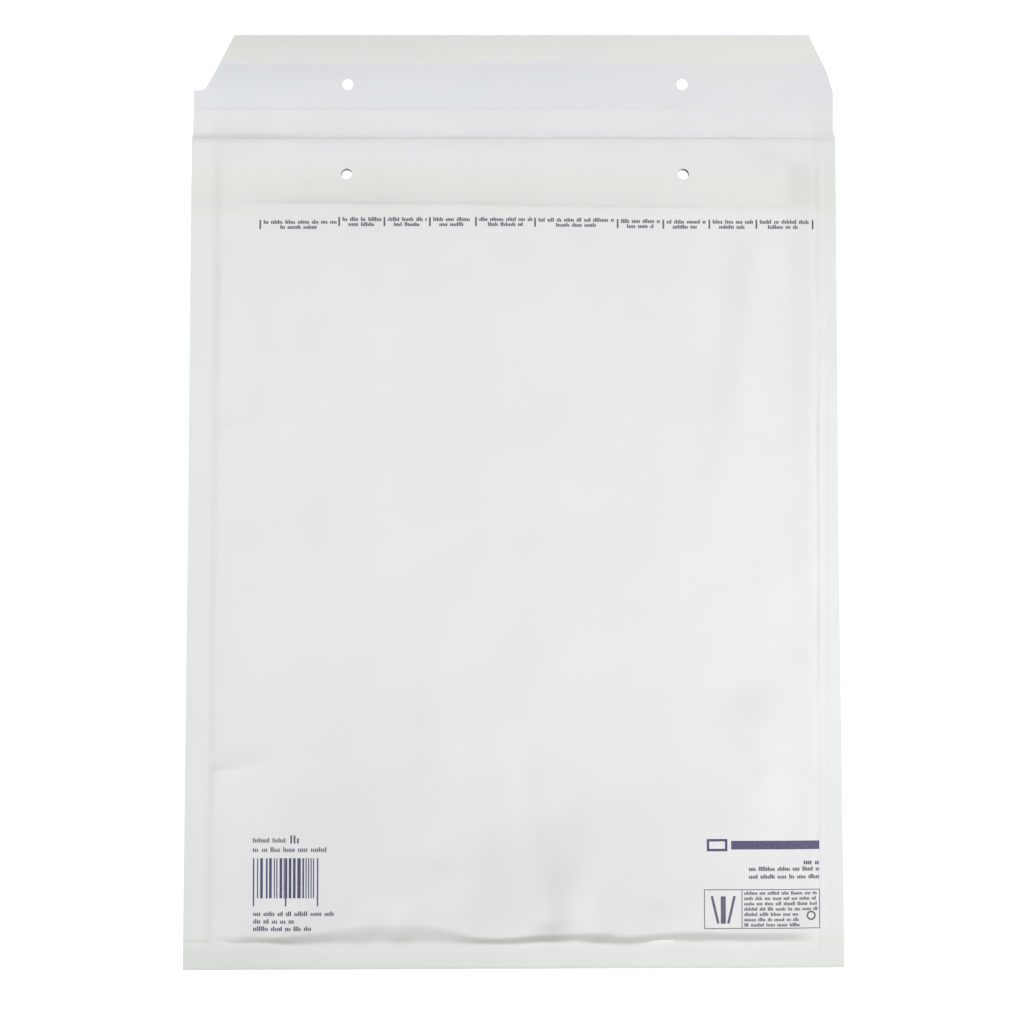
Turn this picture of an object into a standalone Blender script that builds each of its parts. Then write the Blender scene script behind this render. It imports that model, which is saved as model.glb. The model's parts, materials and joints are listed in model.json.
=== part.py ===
"""A padded mailing envelope, lying on its back with the flap open.

One sheet of white paper makes the flap, the back wall and, past the fold along the bottom,
the front wall. Sealing film bonds the two walls along both sides and above the fold. A panel of
bubble film lines each wall. The flap carries a band of adhesive under a peel-off release strip.

Lengths are metres, +Z is up, +X is to the right and +Y is towards the flap. The origin is on
the table under the middle of the envelope. Down the envelope, v is the distance from the mouth
towards the bottom fold; on the flap, v is negative.
"""

import bmesh
import bpy
import numpy as np
from mathutils import Matrix, Vector

# Sheet
BODY_WIDTH = 0.290
BODY_LENGTH = 0.369
FLAP_LENGTH = 0.046
PAPER = 0.00014
SEAL_FILM = 0.00012
SEAL_INSET = 0.0006
SIDE_SEAM = 0.0105
BOTTOM_SEAM = 0.0128

# Flap outline, as insets from the sides of the body and distances above the mouth
FLAP_INSET = 0.0013
FLAP_SHOULDER = 0.0032
NICK_RISE = 0.0215
NICK_SLANT = 0.0009
NICK_DEPTH = 0.0054
LEFT_TIP_INSET = 0.0198
RIGHT_TIP_INSET = 0.0121
RIGHT_CORNER_RISE = 0.0210
RIGHT_CORNER_INSET = 0.0040
RIGHT_CORNER_LENGTH = 0.0096

# Punched holes for paper fasteners
HOLE_DIAMETER = 0.0050
HOLE_SPACING = 0.1505
HOLE_SHIFT = 0.0008
FLAP_HOLE_RISE = 0.0248
LIP_HOLE_DEPTH = 0.0170

# Padding and pocket
FILM_HEIGHT = 0.0025
CRUSHED_FILM = 0.0003
POCKET_GAP = 0.0043
CLEARANCE = 0.0003
LIP_DEPTH = 0.0310
FILM_INSET = 0.0030

# How the walls swell
SEAM_HEIGHT = 0.0033
MOUTH_HEIGHT = 0.0027
SEAM_DROOP = 0.0008
SIDE_SHOULDER = 0.0180
BOTTOM_SHOULDER = 0.0200
BACK_SHOULDER = 0.0260
LIP_SHOULDER = 0.0600
LIP_RISE = 0.0005
PAD_RISE_LENGTH = 0.0200
FLAP_DROP_LENGTH = 0.0270
FLAP_CURL = 0.0024

# Puckers that run up the front wall from the bottom seam: place across, lean, height, half width, reach
PUCKERS = (
    (-0.108, -0.04, 0.0005, 0.012, 0.022),
    (-0.049, -0.06, 0.0008, 0.011, 0.028),
    (0.016, -0.33, 0.0010, 0.009, 0.070),
    (0.036, -0.02, 0.0006, 0.008, 0.026),
    (0.080, 0.12, 0.0007, 0.009, 0.028),
)

# Adhesive and release strip on the flap, from the mouth towards the tip
ADHESIVE_START = 0.0110
ADHESIVE_WIDTH = 0.0180
ADHESIVE_THICKNESS = 0.0001
RELEASE_MARGIN = 0.0030
RELEASE_THICKNESS = 0.00008

# Mesh density
COLUMN_PITCH = 0.011
ROW_PITCH = 0.030
CUTTER_HEIGHT = 0.040
HOLE_SIDES = 24
TINY = 1e-6

TOTAL_LENGTH = BODY_LENGTH + FLAP_LENGTH
MOUTH_Y = TOTAL_LENGTH / 2 - FLAP_LENGTH
HALF_WIDTH = BODY_WIDTH / 2
POCKET_HALF_WIDTH = HALF_WIDTH - SIDE_SEAM
POCKET_LENGTH = BODY_LENGTH - BOTTOM_SEAM
WALL_OFFSET = (PAPER + SEAL_FILM) / 2

BACK_FILM_LOW = PAPER + CLEARANCE
BACK_FILM_TOP = BACK_FILM_LOW + FILM_HEIGHT
FRONT_FILM_LOW = BACK_FILM_TOP + POCKET_GAP
FRONT_FILM_TOP = FRONT_FILM_LOW + FILM_HEIGHT
FRONT_MIDDLE = FRONT_FILM_TOP + CLEARANCE + PAPER / 2
LIP_MIDDLE = FRONT_FILM_LOW + CRUSHED_FILM + CLEARANCE + PAPER / 2
MOUTH_EDGE_MIDDLE = FRONT_FILM_LOW + PAPER


def clear_scene():
    """Removes whatever the file holds."""
    for obj in list(bpy.data.objects):
        bpy.data.objects.remove(obj, do_unlink=True)


def make_collection(name):
    """Makes a collection in the scene."""
    collection = bpy.data.collections.new(name)
    bpy.context.scene.collection.children.link(collection)
    return collection


def make_material(name, colour, roughness, alpha=1.0):
    """Makes a plain material with the piece's colour and gloss."""
    material = bpy.data.materials.new(name)
    material.use_nodes = True
    shader = material.node_tree.nodes["Principled BSDF"]
    shader.inputs["Base Color"].default_value = (*colour, 1.0)
    shader.inputs["Roughness"].default_value = roughness
    shader.inputs["Metallic"].default_value = 0.0
    shader.inputs["Alpha"].default_value = alpha
    return material


def smooth(share):
    """Eases from 0 to 1 as share goes from 0 to 1."""
    share = np.clip(share, 0.0, 1.0)
    return share * share * (3.0 - 2.0 * share)


def crown(distance, shoulder):
    """Rises from 0 at a seam to 1 where the padding is full, as a quarter of an ellipse."""
    short_of_full = 1.0 - np.clip(distance / shoulder, 0.0, 1.0)
    return np.sqrt(1.0 - short_of_full**2)


def seam_height(x, v):
    """Height of the middle of the bonded seam: it dips to the mouth and droops to its free edge."""
    height = MOUTH_HEIGHT + (SEAM_HEIGHT - MOUTH_HEIGHT) * smooth(v / LIP_DEPTH)
    past_side = np.clip((np.abs(x) - POCKET_HALF_WIDTH) / SIDE_SEAM, 0.0, 1.0)
    past_bottom = np.clip((v - POCKET_LENGTH) / BOTTOM_SEAM, 0.0, 1.0)
    return height - SEAM_DROOP * (past_side + past_bottom)


def front_fullness(x, v):
    """Share of its full height that the front wall has reached, from 0 at the seams to 1."""
    side_shoulder = LIP_SHOULDER + (SIDE_SHOULDER - LIP_SHOULDER) * smooth(v / LIP_DEPTH)
    side = crown(POCKET_HALF_WIDTH - np.abs(x), side_shoulder)
    return side * crown(POCKET_LENGTH - v, BOTTOM_SHOULDER)


def back_fullness(x, v):
    """Share of its drop to the table that the back wall has reached, from 0 at the seams to 1."""
    side = crown(POCKET_HALF_WIDTH - np.abs(x), BACK_SHOULDER)
    return side * crown(POCKET_LENGTH - v, BACK_SHOULDER)


def pad_share(v):
    """0 on the unlined lip, rising to 1 where the bubble film has its full height."""
    return crown(v - LIP_DEPTH, PAD_RISE_LENGTH) * (v > LIP_DEPTH)


def pucker_height(x, v):
    """Ridges that the bottom seam gathers into the front wall; each fades up the wall."""
    up = np.clip(POCKET_LENGTH - v, 0.0, None)
    total = np.zeros(np.broadcast(x, v).shape)
    for place, lean, height, half_width, reach in PUCKERS:
        across = (x - place - lean * up) / half_width
        total = total + height * np.exp(-(across**2) - up / reach)
    return total * front_fullness(x, v)


def front_height(x, v):
    """Height of the middle of the front wall's paper."""
    lip = MOUTH_EDGE_MIDDLE + (LIP_MIDDLE - MOUTH_EDGE_MIDDLE) * smooth(v / LIP_DEPTH)
    lip = lip + LIP_RISE * np.sin(np.pi * np.clip(v / LIP_DEPTH, 0.0, 1.0))
    centre = lip + (FRONT_MIDDLE - LIP_MIDDLE) * pad_share(v)
    seam = seam_height(x, v) + WALL_OFFSET
    return seam + (centre - seam) * front_fullness(x, v) + pucker_height(x, v)


def back_height(x, v):
    """Height of the middle of the back wall's paper, and of the flap where v is negative."""
    lift = seam_height(x, 0.0) - WALL_OFFSET - PAPER / 2
    on_wall = PAPER / 2 + lift * (1.0 - smooth(v / LIP_DEPTH))
    seam = seam_height(x, v) - WALL_OFFSET
    wall = seam + (on_wall - seam) * back_fullness(x, v)
    beyond = np.clip(-v, 0.0, None)
    curl = np.clip((beyond - FLAP_DROP_LENGTH) / (FLAP_LENGTH - FLAP_DROP_LENGTH), 0.0, 1.0)
    flap = PAPER / 2 + lift * (1.0 - smooth(beyond / FLAP_DROP_LENGTH)) + FLAP_CURL * curl**2
    return np.where(v < 0, flap, wall)


def flap_sides(rise):
    """Left and right edge of the flap at a height above the mouth: a nick and a slant on the left,
    a blunt corner and a slant on the right."""
    left = np.interp(
        rise,
        (0.0, FLAP_SHOULDER, NICK_RISE, NICK_RISE + NICK_SLANT, FLAP_LENGTH),
        (0.0, FLAP_INSET, FLAP_INSET, FLAP_INSET + NICK_DEPTH, LEFT_TIP_INSET),
    )
    right = np.interp(
        rise,
        (0.0, FLAP_SHOULDER, RIGHT_CORNER_RISE, RIGHT_CORNER_RISE + RIGHT_CORNER_LENGTH, FLAP_LENGTH),
        (0.0, FLAP_INSET, FLAP_INSET, RIGHT_CORNER_INSET, RIGHT_TIP_INSET),
    )
    return -HALF_WIDTH + left, HALF_WIDTH - right


def shoulder_steps(shoulder):
    """Distances from a seam up the shoulder of a wall, one of them at the edge of the bubble film."""
    steps = shoulder * np.array((0.0, 0.03, 0.3, 0.6, 1.0))
    return np.sort(np.append(steps, FILM_INSET))


def column_places():
    """Distances across the body: close together on the shoulders, where the walls bend."""
    shoulder = POCKET_HALF_WIDTH - shoulder_steps(SIDE_SHOULDER)
    count = int(2 * shoulder[-1] / COLUMN_PITCH)
    middle = np.linspace(-shoulder[-1], shoulder[-1], count + 1)[1:-1]
    edge = np.array((HALF_WIDTH,))
    return np.concatenate((-edge, -shoulder, middle, shoulder[::-1], edge))


def row_places(v):
    """Distances across one row of the sheet: those of the body, drawn in to the sides of the flap."""
    columns = column_places()
    left, right = flap_sides(max(-v, 0.0))
    return left + (columns + HALF_WIDTH) / BODY_WIDTH * (right - left)


def flap_rows():
    """Values of v on the flap, from its tip to the mouth, at each corner of its outline."""
    corners = (NICK_RISE, NICK_RISE + NICK_SLANT, RIGHT_CORNER_RISE, RIGHT_CORNER_RISE + RIGHT_CORNER_LENGTH)
    bends = FLAP_LENGTH - (FLAP_LENGTH - FLAP_DROP_LENGTH) * np.array((0.0, 0.3, 0.6))
    strip = np.array((*strip_reach(0.0), *strip_reach(RELEASE_MARGIN)))
    near = np.array((FLAP_SHOULDER, 2 * FLAP_SHOULDER))
    return -np.unique(np.round(np.concatenate((corners, bends, strip, near)), 7))[::-1]


def wall_rows():
    """Values of v down a wall, from the mouth to the seam above the fold."""
    lip = LIP_DEPTH * np.array((0.0, 0.12, 0.3, 0.5, 0.7, 0.88, 1.0))
    pad = LIP_DEPTH + PAD_RISE_LENGTH * np.array((0.04, 0.15, 0.4, 1.0))
    foot = POCKET_LENGTH - shoulder_steps(BOTTOM_SHOULDER)[::-1]
    count = int((foot[0] - pad[-1]) / ROW_PITCH)
    middle = np.linspace(pad[-1], foot[0], count + 1)[1:-1]
    return np.concatenate((lip, pad, middle, foot))


def grid_mesh(across, along):
    """Makes a flat grid of faces with its lines at the given places. Returns the bmesh and its
    vertices as rows, each from left to right."""
    mesh = bmesh.new()
    bmesh.ops.create_grid(
        mesh, x_segments=len(across) - 1, y_segments=len(along) - 1, size=0.5
    )
    in_order = sorted(mesh.verts, key=lambda vert: (-round(vert.co.y, 5), vert.co.x))
    count = len(across)
    rows = [in_order[start : start + count] for start in range(0, len(in_order), count)]
    return mesh, rows


def finish_object(name, mesh, material, collection):
    """Turns a bmesh into a smooth-shaded object in a collection."""
    bmesh.ops.recalc_face_normals(mesh, faces=mesh.faces)
    data = bpy.data.meshes.new(name)
    mesh.to_mesh(data)
    mesh.free()
    data.shade_smooth()
    data.set_sharp_from_angle(angle=np.radians(40))
    data.materials.append(material)
    obj = bpy.data.objects.new(name, data)
    collection.objects.link(obj)
    return obj


def add_solidify(obj, thickness):
    """Gives an open sheet its thickness, half on each side."""
    solidify = obj.modifiers.new("thickness", "SOLIDIFY")
    solidify.thickness = thickness
    solidify.offset = 0.0
    solidify.use_even_offset = True


def add_boolean(obj, other, operation):
    """Joins or cuts an object with another."""
    boolean = obj.modifiers.new(f"{operation.lower()}_{other.name}", "BOOLEAN")
    boolean.operation = operation
    boolean.object = other


def hide_helper(obj):
    """Marks an object as a tool that isn't part of the envelope."""
    obj.hide_render = True
    obj.display_type = "WIRE"


def make_slab(name, across_of_row, along, top, bottom, material, collection):
    """Makes a closed slab between two height functions, on a grid whose rows may differ in width."""
    first = across_of_row(along[0])
    mesh, rows = grid_mesh(first, along)
    for row, v in zip(rows, along):
        for vert, x in zip(row, across_of_row(v)):
            vert.co = Vector((x, MOUTH_Y - v, float(top(x, v))))
    upper = list(mesh.faces)
    lowered = bmesh.ops.extrude_face_region(mesh, geom=upper, use_keep_orig=True)
    for item in lowered["geom"]:
        if isinstance(item, bmesh.types.BMVert):
            v = MOUTH_Y - item.co.y
            item.co.z = float(bottom(item.co.x, v))
    return finish_object(name, mesh, material, collection)


def make_punches(collection):
    """Makes the four punch pins, two for the flap and two for the lips of the mouth."""
    punches = []
    for place, v in (("flap", -FLAP_HOLE_RISE), ("lip", LIP_HOLE_DEPTH)):
        for side, sign in (("left", -1), ("right", 1)):
            mesh = bmesh.new()
            x = HOLE_SHIFT + sign * HOLE_SPACING / 2
            bmesh.ops.create_cone(
                mesh,
                cap_ends=True,
                segments=HOLE_SIDES,
                radius1=HOLE_DIAMETER / 2,
                radius2=HOLE_DIAMETER / 2,
                depth=CUTTER_HEIGHT,
                matrix=Matrix.Translation((x, MOUTH_Y - v, 0.0)),
            )
            data = bpy.data.meshes.new(f"punch_{place}_{side}")
            mesh.to_mesh(data)
            mesh.free()
            punch = bpy.data.objects.new(data.name, data)
            collection.objects.link(punch)
            hide_helper(punch)
            punches.append(punch)
    return punches


def make_seal(collection, material):
    """Makes the sealing film that joins the two walls along the sides and the bottom. It bites half
    way into the paper on both faces, so that the walls and the film become one."""
    bite = SEAL_FILM / 2 + PAPER / 2
    wall = wall_rows()
    end = BODY_LENGTH - SEAL_INSET
    rows = np.concatenate(((SEAL_INSET,), wall[1:], (end,)))
    columns = column_places()

    def top(x, v):
        return seam_height(x, v) + bite

    def bottom(x, v):
        return seam_height(x, v) - bite

    inner = POCKET_HALF_WIDTH + SEAL_INSET
    outer = HALF_WIDTH - SEAL_INSET
    strips = (
        ("seal_left", np.array((-outer, -inner)), rows),
        ("seal_right", np.array((inner, outer)), rows),
        ("seal_bottom", columns[2:-2], np.array((POCKET_LENGTH + SEAL_INSET, end))),
    )
    seals = []
    for name, across, along in strips:
        seal = make_slab(name, lambda v, across=across: across, along, top, bottom, material, collection)
        hide_helper(seal)
        seals.append(seal)
    return seals


def make_paper(material, collection, seals, punches):
    """Makes the one folded sheet: flap, back wall, bottom fold and front wall."""
    columns = column_places()
    flap, wall = flap_rows(), wall_rows()
    down_back = np.concatenate((flap, wall, (BODY_LENGTH,)))
    up_front = np.concatenate(((BODY_LENGTH,), wall[::-1]))
    places = np.concatenate((down_back, up_front))
    mesh, rows = grid_mesh(columns, places)
    for index, (row, v) in enumerate(zip(rows, places)):
        height = back_height if index < len(down_back) else front_height
        for vert, x in zip(row, row_places(v)):
            vert.co = Vector((x, MOUTH_Y - v, float(height(x, v))))
    paper = finish_object("paper_envelope", mesh, material, collection)
    add_solidify(paper, PAPER)
    for seal in seals:
        add_boolean(paper, seal, "UNION")
    for punch in punches:
        add_boolean(paper, punch, "DIFFERENCE")
    return paper


def film_thickness(x, v, fullness):
    """Thickness of the bubble film, which is crushed towards the seams and the lip."""
    share = np.minimum(pad_share(v), fullness(x, v))
    return CRUSHED_FILM + (FILM_HEIGHT - CRUSHED_FILM) * share


def make_film_panel(name, outside, toward_inside, fullness, material, collection):
    """Makes one panel of bubble film, which lies along the inside of its wall and stops short of
    the seams. Where toward_inside is 1 the panel is above its wall, and where it is -1, below."""
    reach = POCKET_HALF_WIDTH - FILM_INSET + TINY
    columns = column_places()
    columns = columns[np.abs(columns) < reach]
    rows = wall_rows()
    rows = rows[(rows > LIP_DEPTH + TINY) & (rows < POCKET_LENGTH - FILM_INSET + TINY)]

    def against_wall(x, v):
        return outside(x, v) + toward_inside * (PAPER / 2 + CLEARANCE)

    def against_pocket(x, v):
        return against_wall(x, v) + toward_inside * film_thickness(x, v, fullness)

    top, bottom = (against_pocket, against_wall) if toward_inside > 0 else (against_wall, against_pocket)
    return make_slab(name, lambda v: columns, rows, top, bottom, material, collection)


def strip_reach(margin):
    """How far above the mouth a strip on the flap starts and ends."""
    return ADHESIVE_START - margin, ADHESIVE_START + ADHESIVE_WIDTH + margin


def make_flap_strip(name, margin, lift, thickness, material, collection, punches):
    """Makes a strip across the flap, cut with it at both ends and punched with it."""
    start, end = strip_reach(margin)
    rows = flap_rows()
    along = rows[(rows > -end - TINY) & (rows < -start + TINY)]

    def across(v):
        return row_places(v)

    def bottom(x, v):
        return back_height(x, v) + PAPER / 2 + lift

    def top(x, v):
        return bottom(x, v) + thickness

    strip = make_slab(name, across, along, top, bottom, material, collection)
    for punch in punches:
        add_boolean(strip, punch, "DIFFERENCE")
    return strip


def main():
    """Builds the envelope."""
    clear_scene()
    envelope = make_collection("padded_envelope")
    tools = make_collection("cutters")
    paper_white = make_material("white_paper", (0.80, 0.82, 0.81), 0.55)
    clear_film = make_material("bubble_film", (0.86, 0.89, 0.90), 0.25, 0.6)
    adhesive = make_material("adhesive", (0.83, 0.80, 0.70), 0.35)
    release = make_material("release_paper", (0.82, 0.84, 0.86), 0.30)

    punches = make_punches(tools)
    seals = make_seal(tools, clear_film)
    make_paper(paper_white, envelope, seals, punches)
    make_film_panel("bubble_liner_back", back_height, 1, back_fullness, clear_film, envelope)
    make_film_panel("bubble_liner_front", front_height, -1, front_fullness, clear_film, envelope)
    flap_punches = punches[:2]
    make_flap_strip("adhesive_strip", 0.0, CLEARANCE, ADHESIVE_THICKNESS, adhesive, envelope, flap_punches)
    release_lift = 2 * CLEARANCE + ADHESIVE_THICKNESS
    make_flap_strip(
        "release_strip", RELEASE_MARGIN, release_lift, RELEASE_THICKNESS, release, envelope, flap_punches
    )


main()
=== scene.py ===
"""The looks of a padded envelope: white paper, bubble film, flap strip, print, studio.

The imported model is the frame. Each piece is a surface worked out with numpy on one plan: x runs
across the envelope, v runs down it from the mouth to the bottom fold, and v is negative on the
flap. Lengths are metres. Tables of places and heights, the folds and the print are millimetres.
"""

import json
import logging
from dataclasses import dataclass, field
from enum import Enum
from typing import Any, Callable, Iterable, Optional

import bpy
import numpy as np
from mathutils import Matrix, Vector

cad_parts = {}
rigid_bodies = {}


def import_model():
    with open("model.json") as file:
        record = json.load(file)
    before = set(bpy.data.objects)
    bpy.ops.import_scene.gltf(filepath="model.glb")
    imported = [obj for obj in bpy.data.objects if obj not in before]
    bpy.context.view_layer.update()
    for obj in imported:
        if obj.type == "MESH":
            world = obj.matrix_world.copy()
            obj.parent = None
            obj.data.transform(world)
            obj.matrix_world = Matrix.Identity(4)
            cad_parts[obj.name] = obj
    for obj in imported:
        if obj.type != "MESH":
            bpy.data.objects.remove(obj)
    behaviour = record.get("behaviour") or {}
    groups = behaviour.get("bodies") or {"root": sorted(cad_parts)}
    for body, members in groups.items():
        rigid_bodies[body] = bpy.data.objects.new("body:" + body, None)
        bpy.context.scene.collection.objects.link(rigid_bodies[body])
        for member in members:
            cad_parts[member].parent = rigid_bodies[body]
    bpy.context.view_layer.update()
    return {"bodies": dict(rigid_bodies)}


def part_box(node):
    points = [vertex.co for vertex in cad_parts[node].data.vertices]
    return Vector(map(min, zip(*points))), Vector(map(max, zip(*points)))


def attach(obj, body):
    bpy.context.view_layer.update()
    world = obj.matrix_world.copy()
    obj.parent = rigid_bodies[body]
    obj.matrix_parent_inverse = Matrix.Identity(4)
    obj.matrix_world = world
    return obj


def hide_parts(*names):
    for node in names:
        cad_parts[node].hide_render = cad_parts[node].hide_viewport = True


Array = np.ndarray
Mesh = tuple[Array, Array]
Pair = tuple[float, float]
Triple = tuple[float, float, float]
Table = tuple[Pair, ...]
HeightMap = Callable[[Array, Array], Array]
LOG = logging.getLogger("padded_envelope")
MM = 0.001
SHARP_ANGLE = np.radians(50)
PLACE_DECIMALS = 7
STEP_SLACK = 1e-6


def smooth(share: Array) -> Array:
    """Eases from 0 to 1: 3s squared less 2s cubed, with s held between 0 and 1."""
    held = np.clip(share, 0.0, 1.0)
    return held * held * (3.0 - 2.0 * held)


def crown(distance: Array, shoulder: float) -> Array:
    """Quarter of an ellipse over a shoulder's width: the root of 1 less (1 - share) squared."""
    short_of_full = 1.0 - np.clip(distance / shoulder, 0.0, 1.0)
    return np.sqrt(1.0 - short_of_full**2)


def follow(place: Array, table: Table) -> Array:
    """Follows a table of (stop, value) pairs, level at each stop.

    Between two stops the value goes over by smooth() of the share of the way, and beyond the
    ends it stays as it is there.

    Args:
        place: Places in metres.
        table: The pairs, in rising order of their stops in millimetres.

    Returns:
        The value at each place, in the table's own unit.
    """
    stops, values = np.array(table).T
    stops = stops * MM
    index = np.clip(np.searchsorted(stops, place, side="right") - 1, 0, len(stops) - 2)
    share = smooth((place - stops[index]) / (stops[index + 1] - stops[index]))
    return values[index] + (values[index + 1] - values[index]) * share


def through(place: Array, table: Table) -> Array:
    """Follows a table whose values are millimetres too, and gives them in metres."""
    return follow(place, table) * MM


def steps(table: Table, end: float) -> Array:
    """Joins runs of even steps into one rising list of places.

    Args:
        table: Pairs of a run's start and its longest step, in millimetres.
        end: Where the last run ends, in metres.

    Returns:
        The places in metres, each once.
    """
    starts = [start * MM for start, _ in table] + [end]
    runs = []
    for start, stop, (_, step) in zip(starts[:-1], starts[1:], table):
        count = max(1, int(np.ceil((stop - start) / (step * MM) - STEP_SLACK)))
        runs.append(np.linspace(start, stop, count + 1))
    return np.unique(np.round(np.concatenate(runs), PLACE_DECIMALS))


def slab(outer: Array, inner: Array) -> Mesh:
    """Closes two grids of points that face each other into a slab.

    The outer grid lies on the side of the cross product of a step along a row and a step to the
    next row. Its faces keep the grid's turn, those of the inner grid are reversed, and four
    strips close the rim.

    Args:
        outer: Points as rows, columns and x, y, z.
        inner: The same for the other side.

    Returns:
        The points and the quads.
    """
    index = np.arange(outer[..., 0].size).reshape(outer.shape[:2])
    back = index + index.size
    sides = (
        (index[:-1, :-1], index[:-1, 1:], index[1:, 1:], index[1:, :-1]),
        (back[:-1, :-1], back[1:, :-1], back[1:, 1:], back[:-1, 1:]),
        (index[0, :-1], back[0, :-1], back[0, 1:], index[0, 1:]),
        (index[-1, :-1], index[-1, 1:], back[-1, 1:], back[-1, :-1]),
        (index[:-1, 0], index[1:, 0], back[1:, 0], back[:-1, 0]),
        (index[:-1, -1], back[:-1, -1], back[1:, -1], index[1:, -1]),
    )
    faces = [np.stack([corner.ravel() for corner in side], axis=1) for side in sides]
    return np.concatenate((outer, inner)).reshape(-1, 3), np.concatenate(faces)


def drums(points: Array, sides: int) -> Mesh:
    """Closes many drums of one kind: triangles from ring to ring, and a fan at each end.

    Args:
        points: One row of points for each drum: its rings, its base pole and its top pole.
        sides: Points in a ring, anticlockwise as seen from the top.

    Returns:
        The points and the triangles.
    """
    count = points.shape[1]
    base_pole, top = np.full(sides, count - 2), count - 2 - sides
    ring = np.arange(sides)
    after = np.roll(ring, -1)
    corners = []
    for low in range(0, top, sides):
        high = low + sides
        corners.append((ring + low, after + low, after + high))
        corners.append((ring + low, after + high, ring + high))
    corners.append((after, ring, base_pole))
    corners.append((ring + top, after + top, base_pole + 1))
    pattern = np.concatenate([np.stack(corner, axis=1) for corner in corners])
    faces = pattern + (np.arange(len(points)) * count)[:, None, None]
    return points.reshape(-1, 3), faces.reshape(-1, 3)


def joined(meshes: Iterable[Mesh]) -> Mesh:
    """Joins meshes whose faces all have the same number of corners.

    Args:
        meshes: Pairs of points and faces.

    Returns:
        All the points and all the faces.
    """
    points, faces, start = [], [], 0
    for some_points, some_faces in meshes:
        points.append(some_points)
        faces.append(some_faces + start)
        start += len(some_points)
    return np.concatenate(points), np.concatenate(faces)


def mesh_object(name: str, points: Array, faces: Array) -> bpy.types.Object:
    """Makes an object from points and faces that all have the same number of corners.

    Args:
        name: The object's name.
        points: One row of x, y, z for each point.
        faces: One row of point numbers for each face.

    Returns:
        The object, smooth shaded and linked to the scene.
    """
    mesh = bpy.data.meshes.new(name)
    corners = faces.shape[1]
    mesh.vertices.add(len(points))
    mesh.vertices.foreach_set("co", points.astype(np.float32).ravel())
    mesh.loops.add(faces.size)
    mesh.loops.foreach_set("vertex_index", faces.astype(np.int32).ravel())
    mesh.polygons.add(len(faces))
    mesh.polygons.foreach_set("loop_start", np.arange(0, faces.size, corners, dtype=np.int32))
    mesh.update(calc_edges=True)
    mesh.validate()
    mesh.shade_smooth()
    mesh.set_sharp_from_angle(angle=SHARP_ANGLE)
    obj = bpy.data.objects.new(name, mesh)
    bpy.context.scene.collection.objects.link(obj)
    return obj


def grid_normals(points: Array) -> Array:
    """Unit normals of a grid: the cross product of its steps along and between rows."""
    normal = np.cross(np.gradient(points, axis=1), np.gradient(points, axis=0))
    return normal / np.linalg.norm(normal, axis=2, keepdims=True)


class FoldProfile(Enum):
    """Section of a fold across its line."""

    ROUND = "round"
    SHARP = "sharp"


@dataclass(frozen=True)
class Fold:
    """A ridge or a crease along a straight line on the front wall, measured in millimetres.

    Attributes:
        start: Its (x, v) where it is strongest.
        end: Its (x, v) where it has faded away.
        half_width: Distance from the line at which it has fallen to about a third.
        height: Height on the line, negative for a crease.
        profile: Section across the line.
        hold: Share of the length before it starts to fade.
    """

    start: Pair
    end: Pair
    half_width: float
    height: float
    profile: FoldProfile = FoldProfile.ROUND
    hold: float = 0.3

    def relief(self, x: Array, v: Array) -> Array:
        """Height that the fold adds: its section times a fade along the line.

        Args:
            x: Places across.
            v: Places down.

        Returns:
            The added height at each place.
        """
        start, end = np.array(self.start) * MM, np.array(self.end) * MM
        width = self.half_width * MM
        run = end - start
        length = float(np.hypot(*run))
        along = ((x - start[0]) * run[0] + (v - start[1]) * run[1]) / length**2
        across = ((x - start[0]) * run[1] - (v - start[1]) * run[0]) / length
        before = np.clip(-along * length / width, 0.0, None)
        fade = 1.0 - smooth((along - self.hold) / (1.0 - self.hold))
        ratio = np.abs(across) / width
        section = np.exp(-ratio if self.profile is FoldProfile.SHARP else -(ratio**2))
        return self.height * MM * section * fade * np.exp(-(before**2))


@dataclass(frozen=True)
class Dimple:
    """A small round bump or dent, measured in millimetres.

    Attributes:
        place: Its (x, v).
        radius: Distances across and down at which it has fallen to a third.
        height: Height in the middle, negative for a dent.
    """

    place: Pair
    radius: Pair
    height: float

    def relief(self, x: Array, v: Array) -> Array:
        """Height that the dimple adds, a Gauss curve of the distance from its middle."""
        across, down = ((p / MM - m) / r for p, m, r in zip((x, v), self.place, self.radius))
        return self.height * MM * np.exp(-(across**2) - down**2)


@dataclass(frozen=True)
class Layer:
    """One layer of the front wall's swelling, measured in millimetres.

    Attributes:
        height: Its full height.
        widths: Distance over which it rises from the left seam, the right seam, the bottom seam
            and the groove under the lip.
    """

    height: float
    widths: tuple[float, float, float, float]

    def relief(self, distances: tuple[Array, ...]) -> Array:
        """Its height times smooth(distance / width) from each of the four edges."""
        rises = [smooth(distance / (width * MM)) for distance, width in zip(distances, self.widths)]
        return self.height * MM * np.prod(rises, axis=0)


@dataclass(frozen=True)
class Ripple:
    """Slow random waves of the paper: a sum of sine waves in fixed random directions.

    Attributes:
        height: Height of each wave.
        shortest: Shortest wave.
        longest: Longest wave.
        count: Number of waves.
        seed: Seed of the draws.
    """

    height: float
    shortest: float
    longest: float
    count: int
    seed: int

    def relief(self, x: Array, v: Array) -> Array:
        """Sum of height * sin(2 pi (x cos a + v sin a) / length + phase) over the waves.

        Args:
            x: Places across.
            v: Places down.

        Returns:
            The added height at each place.
        """
        random = np.random.default_rng(self.seed)
        turns = random.uniform(0.0, np.pi, self.count)
        waves = 2 * np.pi / random.uniform(self.shortest, self.longest, self.count)
        phases = random.uniform(0.0, 2 * np.pi, self.count)
        total = np.zeros(np.broadcast(x, v).shape)
        for turn, wave, phase in zip(turns, waves, phases):
            total = total + np.sin((x * np.cos(turn) + v * np.sin(turn)) * wave + phase)
        return total * self.height


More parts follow.
